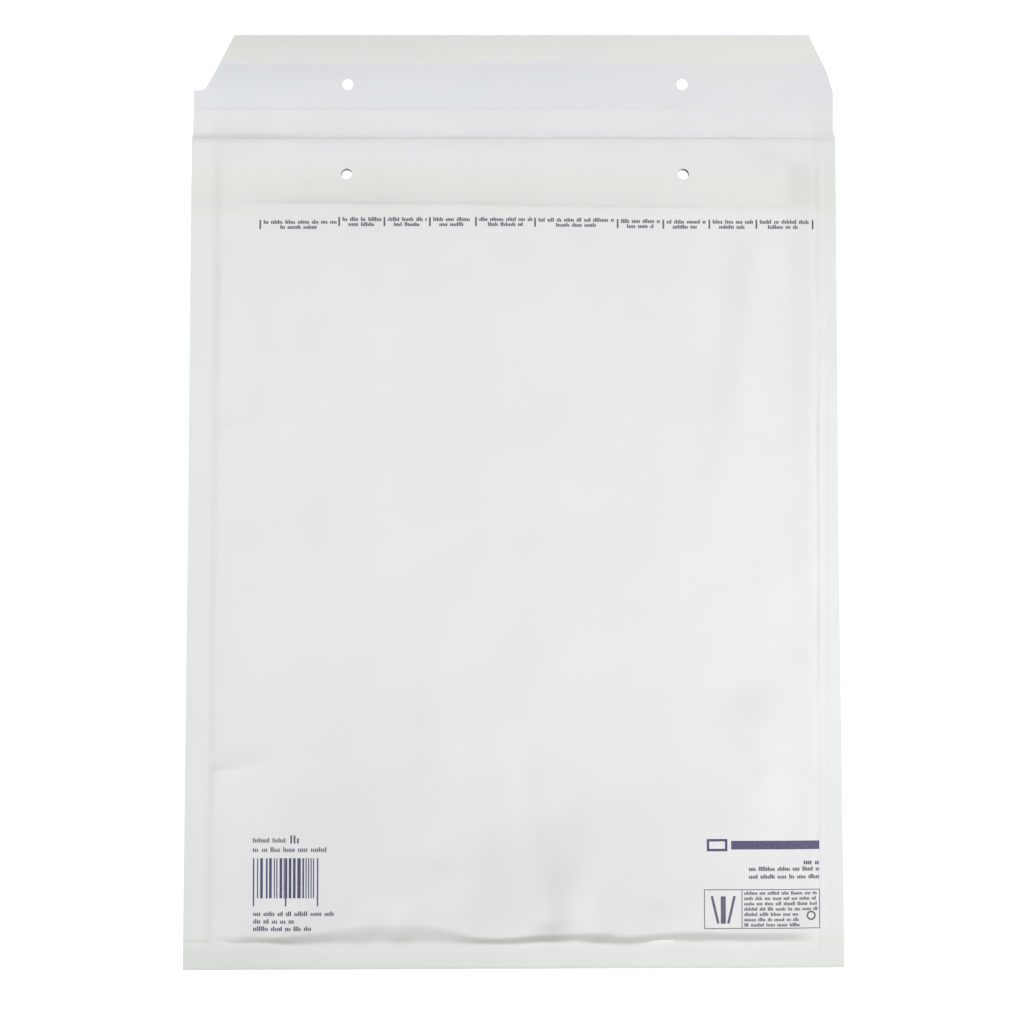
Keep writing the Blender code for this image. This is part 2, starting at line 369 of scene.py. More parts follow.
@dataclass(frozen=True)
class SeamPlan:
    """Where the pad's four edges run, and the section of the lines that the sealing jaws press.

    The edges wander a little, as the photograph shows: left and right give x by v, foot and
    groove give v by x. Each section gives the height of a pressed line by the distance in from
    its edge. right_press is the share of the right line that is pressed, by v, and foot_ease is
    the factor that spreads the roll down to the bottom edge, by x.
    """

    left: Table = (
        (12, -131.6), (73, -131.7), (163, -132.2), (280, -132.3), (285, -133.2), (350, -133.2),
    )
    right: Table = ((12, 136.2), (73, 136.1), (163, 135.2), (262, 134.7), (331, 134.7))
    foot: Table = (
        (-131, 357.2), (-116, 357.2), (-94, 358.4), (-50, 357.3), (-6, 358.8), (16, 357.2),
        (38, 357.7), (49, 359.0), (78, 357.3), (109, 357.9), (135, 357.9),
    )
    groove: Table = ((-127, 29.7), (-37, 30.2), (39, 31.5), (111, 32.0), (135, 32.2))
    left_section: Table = ((-2.4, 0.0), (1.2, -0.30), (13.0, 0.0))
    right_section: Table = ((-5.2, 0.0), (-3.8, 0.10), (-1.0, -0.12), (0.5, 0.17), (4.0, 0.0))
    foot_section: Table = ((-3.4, 0.0), (-0.4, -0.12), (2.0, 0.0))
    right_press: Table = ((40, 0.4), (90, 0.45), (150, 1.0), (200, 1.0), (262, 0.6), (330, 0.6))
    foot_ease: Table = (
        (-108, 0.65), (-90, 1.2), (-66, 1.7), (-38, 1.7), (-12, 0.8), (16, 0.75), (38, 1.0),
        (135, 1.0),
    )
    side_start: float = 8.0 * MM
    side_fade: float = 6.0 * MM
    foot_fade: float = 8.0 * MM

    def distances(self, x: Array, v: Array) -> tuple[Array, Array, Array, Array]:
        """Distances in from the left seam, the right seam, the bottom seam and the groove."""
        foot = (through(x, self.foot) - v) / follow(x, self.foot_ease)
        return x - through(v, self.left), through(v, self.right) - x, foot, v - through(x, self.groove)

    def pressed(self, v: Array, distances: tuple[Array, ...]) -> Array:
        """Height of the pressed lines: the three sections, each faded out past its ends.

        Args:
            v: Places down.
            distances: Distances in from the four edges of the pad.

        Returns:
            The added height at each place.
        """
        left, right, foot, _ = distances
        sides = smooth((v - self.side_start) / self.side_fade) * smooth(1.0 + foot / self.foot_fade)
        ends = smooth(1.0 + right / self.foot_fade)
        right_line = through(right, self.right_section) * follow(v, self.right_press)
        side_lines = (through(left, self.left_section) + right_line) * sides
        return side_lines + through(foot, self.foot_section) * ends


@dataclass
class EnvelopeShape:
    """The plan and the swell of the envelope, around the sealed seams of the solids.

    The layers are the pad's rim, its roll down to the bottom seam and its long slow swell. The
    folds and dimples are those that the photograph shows: puckers over the bottom seam, soft
    folds on the right, short creases at the left seam and the mouth, and dents in the lip.
    """

    width: float
    total_length: float
    layers: tuple[Layer, ...] = (
        Layer(0.25, (20, 14, 4.6, 6)),
        Layer(0.5, (40, 30, 5.0, 70)),
        Layer(5.2, (105, 105, 85, 90)),
    )
    folds: tuple[Fold, ...] = (
        Fold((15, 347), (0, 262), 7, 2.0, hold=0.6),
        Fold((27, 353), (25, 318), 6, -0.5),
        Fold((38, 352), (37, 315), 7, 0.9),
        Fold((-50, 354), (-45, 334), 5, 0.5),
        Fold((-33, 321), (-32, 306), 4, 0.5),
        Fold((-68, 354), (-58, 334), 5, 0.4),
        Fold((-100, 353), (-97, 338), 6, 0.4),
        Fold((66, 354), (68, 338), 7, -0.6),
        Fold((60, 246), (61, 262), 5, 0.4),
        Fold((109, 262), (119, 305), 12, -1.8, hold=0.5),
        Fold((95, 56), (85, 142), 10, 0.9, hold=0.5),
        Fold((107, 56), (97, 142), 10, -0.65, hold=0.5),
        Fold((86, 120), (80, 190), 12, 0.4),
        Fold((98, 120), (92, 190), 12, -0.4),
        Fold((-133.6, 129.8), (-112, 129.8), 1.0, -0.22, FoldProfile.SHARP),
        Fold((-132.5, 282.7), (-116, 281.5), 1.1, -0.2, FoldProfile.SHARP),
        Fold((-128, 282.5), (-92, 273), 4, -0.3),
        Fold((-134, 2.1), (-94, 2.1), 0.7, -0.12, FoldProfile.SHARP, hold=0.8),
    )
    dimples: tuple[Dimple, ...] = (
        Dimple((-91.0, 15.2), (3.2, 2.6), -0.35),
        Dimple((117.4, 16.2), (4.0, 3.0), -0.35),
        Dimple((-20.0, 5.5), (30.0, 3.0), -0.3),
        Dimple((84.0, 5.0), (7.0, 2.5), -0.25),
        Dimple((122.0, 9.0), (13.0, 3.0), -0.3),
        Dimple((127.2, 21.0), (6.0, 3.0), -0.25),
    )
    plan: SeamPlan = SeamPlan()
    ripple: Ripple = Ripple(0.035 * MM, 22 * MM, 60 * MM, count=14, seed=5)
    seam_wave: Ripple = Ripple(0.03 * MM, 28 * MM, 70 * MM, count=8, seed=9)
    flap_length: float = 46.0 * MM
    flap_drop: float = 27.0 * MM
    flap_curl: float = 2.8 * MM
    flap_reach: float = 0.7 * MM
    side_seam: float = 10.5 * MM
    bottom_seam: float = 12.8 * MM
    seam_height: float = 3.3 * MM
    side_droop: float = 0.8 * MM
    foot_droop: float = 0.35 * MM
    foot_slant: float = 0.004
    slant_start: float = 280.0 * MM
    foot_roll: float = 4.6 * MM
    paper: float = 0.14 * MM
    seal_gap: float = 0.03 * MM
    back_shoulder: float = 26.0 * MM
    mouth_height: float = 2.7 * MM
    mouth_gap: float = 0.8 * MM
    mouth_arch: float = 45.0 * MM
    lip_depth: float = 31.0 * MM
    lip_gap: float = 2.1 * MM
    lip_start: float = 2.0 * MM
    lip_run: float = 16.0 * MM
    lip_fall: float = 17.5 * MM
    groove_share: float = 0.40
    left_arch: float = 40.0 * MM
    right_arch: float = 16.0 * MM
    mark_edge: float = 2.5 * MM
    mark_share: float = 0.4
    film_share: float = 0.46
    least_room: float = 0.3 * MM
    crease_place: float = 0.4 * MM
    crease_width: float = 1.5 * MM
    crease_depth: Table = ((-110, 0.8), (-90, 0.35), (135, 0.25))

    def __post_init__(self) -> None:
        """Works out the derived places."""
        self.half_width = self.width / 2
        self.body_length = self.total_length - self.flap_length
        self.mouth_y = self.total_length / 2 - self.flap_length
        self.pocket_half = self.half_width - self.side_seam
        self.pocket_length = self.body_length - self.bottom_seam
        self.wall_offset = (self.paper + self.seal_gap) / 2

    def y(self, x: Array, v: Array) -> Array:
        """Place along the envelope: mouth_y less v, slanted at the foot, drawn out at the tip.

        Args:
            x: Places across.
            v: Places down.

        Returns:
            The y of each place.
        """
        slant = smooth((v - self.slant_start) / (self.body_length - self.slant_start))
        reach = self.flap_reach * smooth(-v / self.flap_length)
        return self.mouth_y - v + self.foot_slant * x * slant + reach

    def seam(self, x: Array, v: Array) -> Array:
        """Height of the middle of the sealed seam, which droops to its free edge and waves a little.

        Args:
            x: Places across.
            v: Places down.

        Returns:
            The height at each place.
        """
        rise = (self.seam_height - self.mouth_height) * smooth(v / self.lip_depth)
        past_side = np.clip((np.abs(x) - self.pocket_half) / self.side_seam, 0.0, 1.0)
        past_bottom = np.clip((v - self.pocket_length) / self.bottom_seam, 0.0, 1.0)
        droop = self.side_droop * past_side + self.foot_droop * past_bottom
        return self.mouth_height + rise - droop + self.seam_wave.relief(x, v)

    def lip(self, v: Array, distances: tuple[Array, ...]) -> Array:
        """Height of the unlined lip over the seam, and of what goes on from it under the pad.

        The gap grows a little from the mouth. From lip_fall to the groove it falls along a
        quarter of an ellipse, share + (1 - share) * sqrt(1 - t squared), and then keeps its
        share. It arches up from both side seams, over a long way at the mouth itself.

        Args:
            v: Places down.
            distances: Distances in from the four edges of the pad.

        Returns:
            The added height at each place.
        """
        left, right, foot, head = distances
        run = smooth((v - self.lip_start) / self.lip_run)
        way = np.clip((v - self.lip_fall) / (v - head - self.lip_fall), 0.0, 1.0)
        fall = self.groove_share + (1.0 - self.groove_share) * np.sqrt(1.0 - way**2)
        total = (self.mouth_gap + (self.lip_gap - self.mouth_gap) * run) * fall
        for distance, arch in ((left, self.left_arch), (right, self.right_arch)):
            total = total * smooth(distance / (self.mouth_arch + (arch - self.mouth_arch) * run))
        return total * smooth(foot / self.foot_roll)

    def front(self, x: Array, v: Array) -> Array:
        """Height of the middle of the front wall's paper.

        It is the sum of the seam, the lip, the layers, the pressed lines and the marks, which
        are the ripple, the folds and the dimples, held back at the pad's edges.

        Args:
            x: Places across.
            v: Places down.

        Returns:
            The height at each place.
        """
        distances = self.plan.distances(x, v)
        height = self.seam(x, v) + self.wall_offset + self.lip(v, distances)
        for layer in self.layers:
            height = height + layer.relief(distances)
        marks = self.ripple.relief(x, v)
        for mark in (*self.folds, *self.dimples):
            marks = marks + mark.relief(x, v)
        for distance in distances[:3]:
            marks = marks * smooth(self.mark_share + distance / self.mark_edge)
        return height + marks + self.plan.pressed(v, distances)

    def back(self, x: Array, v: Array) -> Array:
        """Height of the middle of the back wall's paper, and of the flap where v is negative.

        The wall lies on the table between rounded shoulders. The flap falls from the seam's
        height to the table, curls up at its tip, and is creased where it leaves the mouth.

        Args:
            x: Places across.
            v: Places down.

        Returns:
            The height at each place.
        """
        half = self.paper / 2
        lift = self.seam(x, np.zeros_like(x)) - self.wall_offset - half
        on_wall = half + lift * (1.0 - smooth(v / self.lip_depth))
        seam = self.seam(x, v) - self.wall_offset
        side = crown(self.pocket_half - np.abs(x), self.back_shoulder)
        full = side * crown(self.pocket_length - v, self.back_shoulder)
        wall = seam + (on_wall - seam) * full
        beyond = np.clip(-v, 0.0, None)
        curl = np.clip((beyond - self.flap_drop) / (self.flap_length - self.flap_drop), 0.0, 1.0)
        flap = half + lift * (1.0 - smooth(beyond / self.flap_drop)) + self.flap_curl * curl**2
        crease = np.exp(-(((v - self.crease_place) / self.crease_width) ** 2))
        return np.where(v < 0, flap, wall) - through(x, self.crease_depth) * crease

    def film_height(self, x: Array, v: Array, full: float) -> Array:
        """Height left for one film: its full height, or its share of the gap between the walls."""
        room = self.front(x, v) - self.back(x, v) - 2 * self.paper
        return np.minimum(full, self.film_share * np.clip(room, self.least_room, None))


@dataclass
class SheetOutline:
    """Sides of the sheet, as tables of the inset by v.

    The body is a little wider at its foot. The flap has a nick and a slant on the left, and a
    blunt corner and a slant on the right.
    """

    shape: EnvelopeShape
    left: Table = (
        (-46.0, 19.6), (-22.4, 6.5), (-21.5, 1.4), (-3.2, 1.4), (0.0, 0.9), (180.0, 0.5), (369.0, -0.2),
    )
    right: Table = (
        (-46.0, 12.2), (-30.6, 4.1), (-21.0, 1.2), (-3.2, 1.5), (0.0, 0.5), (180.0, 0.5), (369.0, -0.6),
    )

    def spread(self, columns: Array, v: Array) -> Array:
        """Draws a row of places across in to the sides, straight between the tables' stops.

        Args:
            columns: Places across the full width.
            v: Place down of each row.

        Returns:
            One row of places across for each v.
        """
        half = self.shape.half_width
        left = np.interp(v, *(np.array(self.left).T * MM)) - half
        right = half - np.interp(v, *(np.array(self.right).T * MM))
        share = (columns + half) / self.shape.width
        return left[:, None] + share[None, :] * (right - left)[:, None]

    def corners(self, low: float, high: float) -> Array:
        """Values of v between two limits at which a side turns."""
        turns = np.array([v for v, _ in (*self.left, *self.right)]) * MM
        return turns[(turns > low) & (turns < high)]


@dataclass
class Punch:
    """The holes for paper fasteners: two through the flap, two through both lips of the mouth."""

    shape: EnvelopeShape
    diameter: float = 5.0 * MM
    spacing: float = 150.5 * MM
    shift: float = 0.8 * MM
    flap_rise: float = 24.8 * MM
    lip_depth: float = 17.0 * MM
    sides: int = 40
    reach: float = 40.0 * MM

    def pins(self, rows: Iterable[float]) -> bpy.types.Object:
        """Makes one mesh of closed upright pins, two for each row.

        Args:
            rows: Values of v at which a pair of pins stands.

        Returns:
            The object.
        """
        turn = np.linspace(0.0, 2 * np.pi, self.sides, endpoint=False)
        circle = np.stack((np.cos(turn), np.sin(turn)), axis=1) * self.diameter / 2
        plan = np.concatenate((circle, circle, np.zeros((2, 2))))
        ends = np.repeat((-1.0, 1.0, -1.0, 1.0), (self.sides, self.sides, 1, 1))
        places = [
            (self.shift + sign * self.spacing / 2, self.shape.mouth_y - v)
            for v in rows
            for sign in (-1, 1)
        ]
        across = np.array(places)[:, None] + plan
        height = np.broadcast_to(ends * self.reach / 2, across.shape[:2])
        return mesh_object("punch_pins", *drums(np.dstack((across, height)), self.sides))

    def cut(self, piece: bpy.types.Object, rows: Iterable[float]) -> None:
        """Cuts the holes through a piece and keeps the result as its mesh.

        Args:
            piece: The piece to cut.
            rows: Values of v at which a pair of holes goes through it.
        """
        pins = self.pins(rows)
        boolean = piece.modifiers.new("punch", "BOOLEAN")
        boolean.operation = "DIFFERENCE"
        boolean.solver = "EXACT"
        boolean.object = pins
        bpy.context.view_layer.update()
        graph = bpy.context.evaluated_depsgraph_get()
        cut = bpy.data.meshes.new_from_object(piece.evaluated_get(graph))
        piece.modifiers.remove(boolean)
        old = piece.data
        piece.data = cut
        cut.name = piece.name
        cut.set_sharp_from_angle(angle=SHARP_ANGLE)
        bpy.data.meshes.remove(old)
        bpy.data.objects.remove(pins, do_unlink=True)


@dataclass
class PaperSheet:
    """The one folded sheet: flap, back wall, bottom fold and front wall.

    The tables give the start and the longest step of each run of places, closest together where
    the photograph shows seams and folds.
    """

    shape: EnvelopeShape
    outline: SheetOutline
    punch: Punch
    fold_steps: int = 4
    across: Table = (
        (-145, 1.4), (-137, 0.42), (-130, 1.6), (-112, 3.6), (-66, 2.5), (-24, 1.8), (52, 3.4),
        (84, 2.2), (130, 0.42), (141.2, 1.3),
    )
    flap_rows: Table = ((-46, 1.6), (-4, 0.45))
    back_rows: Table = ((0, 0.6), (3, 3.5), (40, 12), (330, 3.2))
    front_rows: Table = (
        (0.5, 0.5), (4, 1.8), (24, 0.6), (42, 2.4), (60, 4.4), (126, 0.8), (134, 4.6), (278, 0.8),
        (286, 3.2), (321, 1.8), (349, 0.45), (360, 1.3),
    )

    def middle_surface(self) -> Array:
        """Points of the middle of the sheet, from the flap's tip to the front wall's mouth edge.

        The fold is half a circle between the heights of the two walls.

        Returns:
            The points as rows, columns and x, y, z.
        """
        shape = self.shape
        fold_start = shape.body_length - shape.wall_offset - shape.paper / 2
        columns = steps(self.across, shape.half_width)
        flap_corners = np.round(self.outline.corners(-shape.flap_length, 0.0), PLACE_DECIMALS)
        flap = np.union1d(steps(self.flap_rows, 0.0), flap_corners)
        back_v = np.union1d(flap, steps(self.back_rows, fold_start))
        front_v = steps(self.front_rows, fold_start)[::-1]
        walls = []
        for v, height in ((back_v, shape.back), (front_v, shape.front)):
            x = self.outline.spread(columns, v)
            down = np.broadcast_to(v[:, None], x.shape)
            walls.append(np.stack((x, shape.y(x, down), height(x, down)), axis=2))
        back, front = walls
        turn = np.linspace(0.0, np.pi, self.fold_steps + 2)[1:-1, None]
        centre = (back[-1] + front[0]) / 2
        radius = (front[0, :, 2] - back[-1, :, 2]) / 2
        fold = np.broadcast_to(centre, (self.fold_steps, *centre.shape)).copy()
        fold[:, :, 1] -= np.sin(turn) * radius
        fold[:, :, 2] -= np.cos(turn) * radius
        return np.concatenate((back, fold, front))

    def build(self) -> bpy.types.Object:
        """Builds the sheet with its thickness and its holes.

        Returns:
            The object.
        """
        middle = self.middle_surface()
        offset = grid_normals(middle) * self.shape.paper / 2
        sheet = mesh_object("white_paper_sheet", *slab(middle + offset, middle - offset))
        self.punch.cut(sheet, (-self.punch.flap_rise, self.punch.lip_depth))
        return sheet


@dataclass
class BubblePanel:
    """One panel of bubble film: a flat ply against the paper and rows of air bubbles.

    toward_inside is 1 where the pocket is above the wall, and -1 where it is below. The film
    stays touch off the paper, and inset and lip_inset short of the seams and the lip. Each ring
    of a bubble is a share of its radius and of the film's height. The ply's steps, in
    millimetres, are finer in a border along its edges.
    """

    name: str
    shape: EnvelopeShape
    outside: HeightMap
    toward_inside: int
    pitch: float = 10.8 * MM
    row_share: float = float(np.sqrt(0.75))
    radius: float = 4.7 * MM
    full_height: float = 2.4 * MM
    ply: float = 0.1 * MM
    touch: float = 0.3 * MM
    inset: float = 3.0 * MM
    lip_inset: float = 1.0 * MM
    sides: int = 10
    rings: Table = ((1.0, 0.0), (0.93, 0.6), (0.6, 0.95))
    border: float = 20.0 * MM
    ply_steps: Pair = (1.5, 4.0)

    def __post_init__(self) -> None:
        """Works out the lowest and highest x and v of the film."""
        side = self.shape.pocket_half - self.inset
        self.across = (-side, side)
        self.down = (self.shape.lip_depth + self.lip_inset, self.shape.pocket_length - self.inset)

    def against_wall(self, x: Array, v: Array) -> Array:
        """Height of the ply's face that touches the paper."""
        return self.outside(x, v) + self.toward_inside * (self.shape.paper / 2 + self.touch)

    def ply_grids(self) -> tuple[Array, ...]:
        """Grids of the ply's two faces.

        Returns:
            The grid against the paper and the grid towards the pocket.
        """
        fine, coarse = self.ply_steps
        places = []
        for low, high in (self.down, self.across):
            middle = ((low + self.border) / MM, coarse), ((high - self.border) / MM, fine)
            places.append(steps(((low / MM, fine), *middle), high))
        v, x = np.meshgrid(*places, indexing="ij")
        wall, y = self.against_wall(x, v), self.shape.y(x, v)
        return tuple(np.stack((x, y, wall + self.toward_inside * t), axis=2) for t in (0.0, self.ply))

    def bubble_places(self) -> tuple[Array, Array]:
        """Middles of the bubbles, in staggered rows of equal triangles.

        Returns:
            Places across and places down.
        """
        (left, right), (start, end) = self.across, self.down
        rows = np.arange(start + self.radius, end - self.radius, self.pitch * self.row_share)
        columns = np.arange(left + self.radius, right - self.radius - self.pitch / 2, self.pitch)
        x, v = np.meshgrid(columns, rows)
        x = x + (np.arange(len(rows)) % 2)[:, None] * self.pitch / 2
        return x.ravel(), v.ravel()

    def bubbles(self) -> Mesh:
        """Makes all the bubbles, each a closed drum with a rounded rim.

        Every point stands off the wall at its own place by its ring's share of the film's height.

        Returns:
            The points and the triangles.
        """
        turn = np.linspace(0.0, 2 * np.pi, self.sides, endpoint=False)
        radii, rises = np.array(self.rings).T
        rings = (np.outer(radii, wave(turn)) for wave in (np.cos, np.sin))
        plan_x, plan_y = (np.append(ring, (0.0, 0.0)) for ring in rings)
        rise = np.append(np.repeat(rises, self.sides), (0.0, 1.0))
        across, down = self.bubble_places()
        x, v = across[:, None] + self.radius * plan_x, down[:, None] - self.radius * plan_y
        height = self.shape.film_height(x, v, self.full_height) - self.ply
        base = self.against_wall(x, v) + self.toward_inside * self.ply / 2
        points = np.stack((x, self.shape.y(x, v), base + self.toward_inside * height * rise), axis=2)
        points, faces = drums(points, self.sides)
        return points, faces[:, :: self.toward_inside]

    def build(self) -> bpy.types.Object:
        """Builds the ply and its bubbles as one piece.

        Returns:
            The object.
        """
        panel = mesh_object(self.name, *slab(*self.ply_grids()[:: self.toward_inside]))
        bubbles = mesh_object(f"{self.name}_bubbles", *self.bubbles())
        both = [panel, bubbles]
        with bpy.context.temp_override(
            active_object=panel, selected_editable_objects=both, selected_objects=both
        ):
            bpy.ops.object.join()
        return panel


@dataclass
class FlapStrip:
    """A strip across the flap, trimmed and punched with it.

    It runs from start to end beyond the mouth and has its thickness over a lift. Over the width
    of edge its long edges are thinned to edge_share, and its underside comes down to foot_share
    of the lift, so that no gap shows. The tables of steps are millimetres.
    """

    name: str
    shape: EnvelopeShape
    outline: SheetOutline
    punch: Punch
    start: float
    end: float
    lift: float = 0.0
    thickness: float = 0.03 * MM
    edge: float = 0.15 * MM
    edge_share: float = 0.3
    foot_share: float = 0.2
    side: float = 144.8 * MM
    across: Table = ((-144.8, 1.2), (-134, 3.0), (134, 1.2))
    row_step: float = 1.2

    def build(self) -> bpy.types.Object:
        """Builds the strip on the flap's inner face, thinned out along its two long edges.

        Returns:
            The object.
        """
        rows = steps(((-self.end / MM, self.row_step),), -self.start)
        edges = (-self.end + self.edge, -self.start - self.edge)
        turns = (*self.outline.corners(-self.end, -self.start), *edges)
        v = np.union1d(rows, np.round(turns, PLACE_DECIMALS))
        x = self.outline.spread(steps(self.across, self.side), v)
        down = np.broadcast_to(v[:, None], x.shape)
        full = np.minimum(down + self.end, -self.start - down) > self.edge / 2
        face = self.shape.back(x, down) + self.shape.paper / 2
        top = face + (self.lift + self.thickness) * np.where(full, 1.0, self.edge_share)
        foot, y = face + self.lift * self.foot_share, self.shape.y(x, down)
        low, high = (np.stack((x, y, z), axis=2) for z in (foot, top))
        strip = mesh_object(self.name, *slab(low, high))
        self.punch.cut(strip, (-self.punch.flap_rise,))
        return strip


@dataclass(frozen=True)
class TypeRow:
    """A row of strokes where the real one has a line of type, measured in millimetres.

    Attributes:
        x: Its left end.
        v: Its top.
        length: Its length.
        height: Height of its tallest strokes.
        weight: Share of the row that is ink.
    """

    x: float
    v: float
    length: float
    height: float
    weight: float


@dataclass
class PrintRun:
    """Ink marks on the front wall, each a thin ribbon that follows the paper.

    Places, lengths and widths of the marks are millimetres, and so is the longest step along a
    ribbon. The ink stands proud of the paper and reaches sunk into it, both in metres. A word
    has 3 strokes or more and fewer than 10, at stroke_pitch of their height from each other.
    Each leaves one of stroke_tops free above it, and a gap of word_gap pitches ends the word.
    A stripe's width is ink by the share of stripe_ink. Each ribbon is a path and its width.
    """

    name: str
    shape: EnvelopeShape
    seed: int
    step: float = 1.2
    proud: float = 0.05 * MM
    sunk: float = 0.04 * MM
    stripe_ink: float = 0.86
    stroke_pitch: float = 0.42
    word_gap: float = 1.4
    letters: tuple[int, int] = (3, 10)
    stroke_tops: tuple[float, ...] = (0.0, 0.28, 0.28, 0.36)
    stripe_widths: tuple[float, ...] = (1.0, 1.0, 1.6, 2.4, 3.2)
    stripe_gaps: tuple[float, ...] = (1.0, 1.0, 1.5, 2.2)
    ribbons: list[tuple[Array, float]] = field(default_factory=list)

    def __post_init__(self) -> None:
        """Starts the run's own fixed random draws from its seed."""
        self.random = np.random.default_rng(self.seed)

    def line(self, start: Pair, end: Pair, thickness: float) -> None:
        """Adds a straight mark.

        Args:
            start: The (x, v) of one end.
            end: The (x, v) of the other end.
            thickness: Width of the mark across its length.
        """
        length = float(np.hypot(end[0] - start[0], end[1] - start[1]))
        count = max(2, int(np.ceil(length / self.step)) + 1)
        share = np.linspace(0.0, 1.0, count)[:, None]
        self.ribbons.append((np.array(start) * (1 - share) + np.array(end) * share, thickness))

    def ring(self, middle: Pair, diameter: float, thickness: float, turns: int = 24) -> None:
        """Adds a ring, as a closed path of short straight runs.

        Args:
            middle: The (x, v) of its middle.
            diameter: Diameter of the path.
            thickness: Width of the mark.
            turns: Number of the runs.
        """
        turn = np.linspace(0.0, 2 * np.pi, turns + 1)
        path = np.stack((np.cos(turn), np.sin(turn)), axis=1) * diameter / 2 + middle
        self.ribbons.append((path, thickness))

    def frame(self, low: Pair, high: Pair, thickness: float) -> None:
        """Adds the outline of a rectangle, with full corners.

        Args:
            low: The (x, v) of its upper left corner.
            high: The (x, v) of its lower right corner.
            thickness: Width of its lines.
        """
        for v in (low[1], high[1]):
            self.line((low[0] - thickness / 2, v), (high[0] + thickness / 2, v), thickness)
        for x in (low[0], high[0]):
            self.line((x, low[1]), (x, high[1]), thickness)

    def words(self, *rows: TypeRow) -> None:
        """Adds rows of small upright strokes in groups, which can't be read.

        Each group is a word's length of strokes of mixed height, and a gap follows it.

        Args:
            rows: The rows.
        """
        for row in rows:
            pitch = self.stroke_pitch * row.height
            x, end = row.x, row.x + row.length
            while x < end - pitch:
                for _ in range(int(self.random.integers(*self.letters))):
                    if x > end - pitch:
                        break
                    top = row.v + row.height * float(self.random.choice(self.stroke_tops))
                    middle = x + pitch / 2
                    self.line((middle, top), (middle, row.v + row.height), pitch * row.weight)
                    x += pitch
                x += self.word_gap * pitch

    def stripes(self, low: Pair, high: Pair, count: int) -> None:
        """Adds a block of upright stripes of mixed width, which stands for no number.

        Args:
            low: The (x, v) of the block's upper left corner.
            high: The (x, v) of its lower right corner.
            count: Number of stripes.
        """
        widths = self.random.choice(self.stripe_widths, size=count)
        gaps = self.random.choice(self.stripe_gaps, size=count)
        scale = (high[0] - low[0]) / (widths.sum() + gaps[:-1].sum())
        x = low[0]
        for width, gap in zip(widths * scale, gaps * scale):
            self.line((x + width / 2, low[1]), (x + width / 2, high[1]), width * self.stripe_ink)
            x += width + gap

    def build(self) -> bpy.types.Object:
        """Builds all ribbons as one mesh of thin closed bars.

        Each path point gives two points to its sides, at half the thickness along the path's
        normal, and each of those is set a little above and a little below the paper's face.

        Returns:
            The object.
        """
        bars = []
        for path, thickness in self.ribbons:
            along = np.gradient(path, axis=0)
            along /= np.linalg.norm(along, axis=1, keepdims=True)
            side = np.stack((-along[:, 1], along[:, 0]), axis=1) * thickness / 2
            x, v = np.moveaxis(np.stack((path - side, path + side), axis=1) * MM, 2, 0)
            y, face = self.shape.y(x, v), self.shape.front(x, v) + self.shape.paper / 2
            bars.append(slab(*(np.stack((x, y, face + z), axis=2) for z in (self.proud, -self.sunk))))
        return mesh_object(self.name, *joined(bars))


